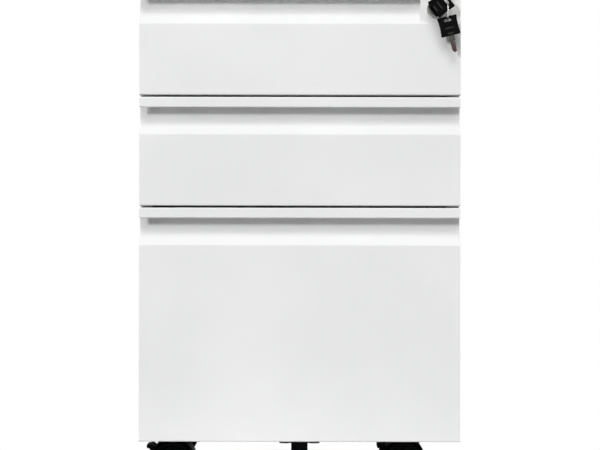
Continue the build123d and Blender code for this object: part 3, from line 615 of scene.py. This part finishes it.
# blades: flats are the steps across the half width, dents the share of the groove at each of them;
# cuts are (place along the blade, depth)
keyBlade = {"start": 1.6, "neck": 11.0, "blend": 0.4, "length": 26.0,
            "neckHalf": 3.5, "neckThick": 1.5, "bladeHalf": 3.3, "tipHalf": 2.6, "bladeThick": 1.0,
            "pointLong": 2.2, "pointLeast": 0.12, "pointPower": 0.7,
            "flats": (-1, -0.9, -0.55, -0.45, -0.2, -0.1, 0.35, 0.45, 0.75, 0.85, 0.97, 1.0),
            "dents": (0.35, 0, 0, 1, 1, 0, 0, 0.8, 0.8, 0, 0, 0.35),
            "groove": 0.32, "edgeDrop": 0.3,
            "cuts": ((13.6, 0.7), (16.4, 1.2), (19.2, 0.5), (22.0, 1.0)),
            "cutTop": 1.25, "cutHalf": 1.1, "cutFrom": 0.9,
            "eye": 1.9, "eyeHalf": 3.5, "eyeBevel": 0.3, "bore": 1.05}


def bladeShape(key):
    # a stepped flat section carried along the blade: tapered, pointed, grooved and cut on one edge
    k = keyBlade
    u = np.concatenate([np.linspace(k["start"], k["neck"] - 2 * k["blend"], 8),
                        np.linspace(k["neck"] - k["blend"], k["length"], 75)])
    onBlade = np.clip((u - k["neck"] + k["blend"]) / (2 * k["blend"]), 0, 1)
    out = np.clip((u - k["neck"]) / (k["length"] - k["neck"]), 0, 1)
    taper = k["bladeHalf"] + (k["tipHalf"] - k["bladeHalf"]) * out
    point = np.clip((k["length"] - u) / k["pointLong"], k["pointLeast"], 1) ** k["pointPower"]
    half = k["neckHalf"] + (taper * point - k["neckHalf"]) * onBlade
    thick = k["neckThick"] + (k["bladeThick"] - k["neckThick"]) * onBlade
    flats, dents = np.array(k["flats"]), np.array(k["dents"])
    cuts = sum(deep * np.clip(k["cutTop"] - np.abs(u - at) / k["cutHalf"], 0, 1)
               for at, deep in k["cuts"])
    # the cuts only take from the strip along one edge
    strip = np.clip((flats - k["cutFrom"]) / (1 - k["cutFrom"]), 0, 1)
    side = half[:, None] * flats - cuts[:, None] * strip
    drop = (thick[:, None] - k["groove"] * dents * onBlade[:, None]
            - k["edgeDrop"] * (np.abs(flats) == 1))
    wide = np.concatenate([side, side[:, ::-1]], axis=1)
    high = np.concatenate([drop, -drop[:, ::-1]], axis=1)
    normal = np.cross(key["across"], key["blade"])
    points = (key["pivot"] + u[:, None, None] * key["blade"] + wide[..., None] * key["across"]
              + high[..., None] * normal)
    eyeHalf, eye, low = k["eyeHalf"], k["eye"], k["eye"] - k["eyeBevel"]
    flank = eyeHalf - k["eyeBevel"]
    barrel = [(-eyeHalf, k["bore"]), (-eyeHalf, low), (-flank, eye), (flank, eye), (eyeHalf, low),
              (eyeHalf, k["bore"])]
    return [gridFaces(points * mm, closedV=True, caps=True),
            lathe(barrel, key["pivot"], key["across"], key["blade"], 40, closed=True)]


# the fold pin between the two cheeks of a head
foldPin = {"radius": 1.0, "sunk": 0.1}


def pinShape(key):
    reach, radius = keyHead["notchHalf"] + foldPin["sunk"], foldPin["radius"]
    return lathe([(-reach, tiny), (-reach, radius), (reach, radius), (reach, tiny)],
                 key["pivot"], key["across"], key["blade"], 24)


keyBodies = {"key": (inLock, "key_bow", "key"), "spare_key": (spare, "spare_key", "spare_key")}
for name, (key, headBody, bladeBody) in keyBodies.items():
    shapes = [headShape(key), pinShape(key), coverShape(key)]
    shapes += [ridgeShape(key, at, reach, way) for at, reach, way in keyRidges["bars"]]
    addPiece(name + "_head_moulded", shapes, headBody, "key_plastic", [name + "_head"])
    addPiece(name + "_blade_cut", bladeShape(key), bladeBody, "key_metal", [name + "_blade"])

# split ring: a flat wire wound twice round, its turns side by side
splitRing = {"centre": (177.902, -225.65, 575.588), "radius": 10.5, "wire": (0.33, 0.68),
             "step": 0.35, "turns": 2, "cut": 0.12, "start": 0.6, "crossing": 2.2, "points": 220}


def splitRingShape():
    # radius * (cos t, sin t) in the ring's plane, while the wire steps from one turn to the next
    r = splitRing
    turn = np.linspace(0, 2 * np.pi * r["turns"] - r["cut"], r["points"]) + np.pi / 2 + r["start"]
    step = np.tanh((turn - turn.mean()) * r["crossing"]) * r["step"]
    outward = np.stack([np.zeros_like(turn), np.cos(turn), np.sin(turn)], axis=1)
    path = np.array(r["centre"]) + r["radius"] * outward
    path[:, 0] += step
    sideways = np.tile([1.0, 0, 0], (len(turn), 1))
    return sweep(path, ellipse(*r["wire"], 14), sideways, outward)


addPiece("split_ring", [splitRingShape()], "ring", "chrome", ["key_ring"], smooth=80)

# ribs on the brake pedals: low bars that run across the pad;
# places are (pin x, pin z, degrees pressed)
pedalRibs = {"places": {"front_left": (-183.80, 41.745, 10.0),
                        "front_right": (102.20, 41.745, 0.0)},
             "y": -138.15, "half": 13.6, "outward": (-4.4, -2.9, -1.4), "level": 3.12,
             "high": 0.45, "wide": 0.5, "endPower": 10}


def pedalRibShape(pivotX, pivotZ, pressed, out):
    # half an ellipse along Y, drawn in at its ends and turned with the pad about its pin
    r = pedalRibs
    u = np.linspace(-1, 1, 13)
    v = np.linspace(0, np.pi, 9)
    swell = np.sqrt(np.clip(1 - u ** r["endPower"], 0, 1))[:, None]
    x = out + r["wide"] * np.cos(v) * swell
    z = r["level"] + r["high"] * np.sin(v) * swell
    y = np.broadcast_to(r["y"] + r["half"] * u[:, None], x.shape)
    turn = np.radians(pressed)
    # pressing turns the outer end of the pad down
    points = np.stack([pivotX + x * np.cos(turn) - z * np.sin(turn), y,
                       pivotZ + x * np.sin(turn) + z * np.cos(turn)], axis=-1)
    return gridFaces(points * mm)


for corner, place in pedalRibs["places"].items():
    addPiece(corner + "_pedal_ribs", [pedalRibShape(*place, out) for out in pedalRibs["outward"]],
             corner + "_brake", "black_plastic")

# pan-head screws that hold the fronts to the trays, inside the trays
trayScrews = {"x": (-120.0, -40.0, 40.0, 120.0), "wall": -190.35,
              "rows": {"top": (520.0,), "middle": (385.5,), "file": (130.0, 250.0)},
              "head": 4.2, "high": 2.0, "domePower": 4, "crossDeep": 1.1, "crossHalf": 0.62,
              "crossWall": 0.2, "crossReach": 2.4, "crossEnd": 0.4}


def screwHead(x, y, z):
    # a flattened dome with a cross sunk into it, standing along +Y
    t = trayScrews
    radius = np.linspace(t["head"], tiny, 34)
    dome = t["high"] * (1 - (radius / t["head"]) ** t["domePower"]) ** 0.5

    def cross(r, turn):
        arm = np.minimum(np.abs(r * np.cos(turn)), np.abs(r * np.sin(turn)))
        inArm = np.clip((t["crossHalf"] - arm) / t["crossWall"], 0, 1)
        return -t["crossDeep"] * inArm * np.clip((t["crossReach"] - r) / t["crossEnd"], 0, 1)

    return lathe(np.stack([dome, radius], axis=1), (x, y, z), (0, 1, 0), (1, 0, 0), 64, cross)


for drawer, heights in trayScrews["rows"].items():
    addPiece(drawer + "_front_screws",
             [screwHead(x, trayScrews["wall"], z) for x in trayScrews["x"] for z in heights],
             drawer + "_drawer", "zinc_steel")

# light, floor and camera
studio = {"ambient": 0.025, "white": (1.0, 1.0, 1.0, 1), "floor": (0.9, 0.9, 0.9, 1),
          "near": (0.7, 0.7, 0.7, 1), "bounce": (0.22, 0.22, 0.22, 1),
          "shadowAt": (0.0, -0.12, 0.0), "fade": (0.22, 0.36), "dull": 0.9, "half": 30}
lamps = {
    "leftLamp": {"place": (-4.4, -7.4, 3.8), "aim": (0.0, -0.2, 0.35),
                 "size": 1.7, "power": 410.0},
    "rightLamp": {"place": (3.2, -3.55, 1.99), "aim": (0.0, -0.2, 0.35),
                  "size": 4.5, "power": 36.0},
    "highLamp": {"place": (0.0, -5.3, 7.0), "aim": (0.0, -0.2, 0.35),
                 "size": 5.0, "power": 400.0},
    "backLamp": {"place": (1.6, 6.5, 2.7), "aim": (0.0, 0.2, 0.3),
                 "size": 3.6, "power": 310.0},
}


def hangLamp(name, place, aim, size, power):
    lamp = bpy.data.lights.new(name, "AREA")
    lamp.shape = "DISK"
    lamp.size = size
    lamp.energy = power
    holder = bpy.data.objects.new(name, lamp)
    holder.location = place
    holder.rotation_euler = (Vector(aim) - Vector(place)).to_track_quat("-Z", "Y").to_euler()
    bpy.context.collection.objects.link(holder)


for name, lamp in lamps.items():
    hangLamp(name, **lamp)


def lookedAt(n):
    # 1 on rays from the camera, in reflections and through glass, 0 on rays that only carry light
    seen = n.add("LightPath", out="Is Camera Ray") | n.add("LightPath", out="Is Glossy Ray")
    return seen | n.add("LightPath", out="Is Transmission Ray")


# the world is white where it is looked at, and dim as light
world = bpy.data.worlds.new("studio")
bpy.context.scene.world = world
w = Nodes(world)
backdrop = w.tree.nodes["Background"]
feed(w.tree, backdrop.inputs["Color"], studio["white"])
feed(w.tree, backdrop.inputs["Strength"], studio["ambient"] + (1 - studio["ambient"]) * lookedAt(w))

# the floor takes the shadow near the cabinet and goes over to plain white farther out
n = newFinish("paleFloor")
spot = n.where(scale=(1, 1, 0), centre=studio["shadowAt"])
distance = n.add("VectorMath", {"operation": "LENGTH"}, {0: spot}, "Value")
looked = lookedAt(n)
far = n.between(distance, *studio["fade"])
floorShader = n.tree.nodes["Principled BSDF"]
n.shade({"Base Color": n.mix(looked, n.mix(far, studio["near"], studio["bounce"]), studio["floor"]),
         "Roughness": studio["dull"]})
glow = n.add("Emission", {}, {"Color": studio["white"], "Strength": 1.0})
shaded = Wire(n.tree, floorShader.outputs[0])
blendShader = n.add("MixShader", {}, {0: far * looked, 1: shaded, 2: glow})
n.tree.links.new(blendShader.socket, n.tree.nodes["Material Output"].inputs["Surface"])
floorMesh = bpy.data.meshes.new("floor")
half = studio["half"]
floorMesh.from_pydata([(-half, -half, 0), (half, -half, 0), (half, half, 0), (-half, half, 0)], [],
                      [(0, 1, 2, 3)])
floorMesh.materials.append(n.owner)
floor = bpy.data.objects.new("floor", floorMesh)
bpy.context.collection.objects.link(floor)

# span is the width that the picture shows at the plane of the fronts
view = {"distance": 2.6, "front": -0.21315, "height": 0.31715, "span": 0.728, "aside": 0.0003,
        "roll": -0.1, "farthest": 100}
camera = bpy.data.cameras.new("camera")
camera.lens = camera.sensor_width * view["distance"] / view["span"]
camera.clip_end = view["farthest"]
eye = bpy.data.objects.new("camera", camera)
eye.location = (view["aside"], view["front"] - view["distance"], view["height"])
eye.rotation_euler = (np.radians(90), np.radians(view["roll"]), 0)
bpy.context.collection.objects.link(eye)
bpy.context.scene.camera = eye
bpy.context.scene.view_settings.view_transform = "Standard"
print("lamps, floor and camera set")
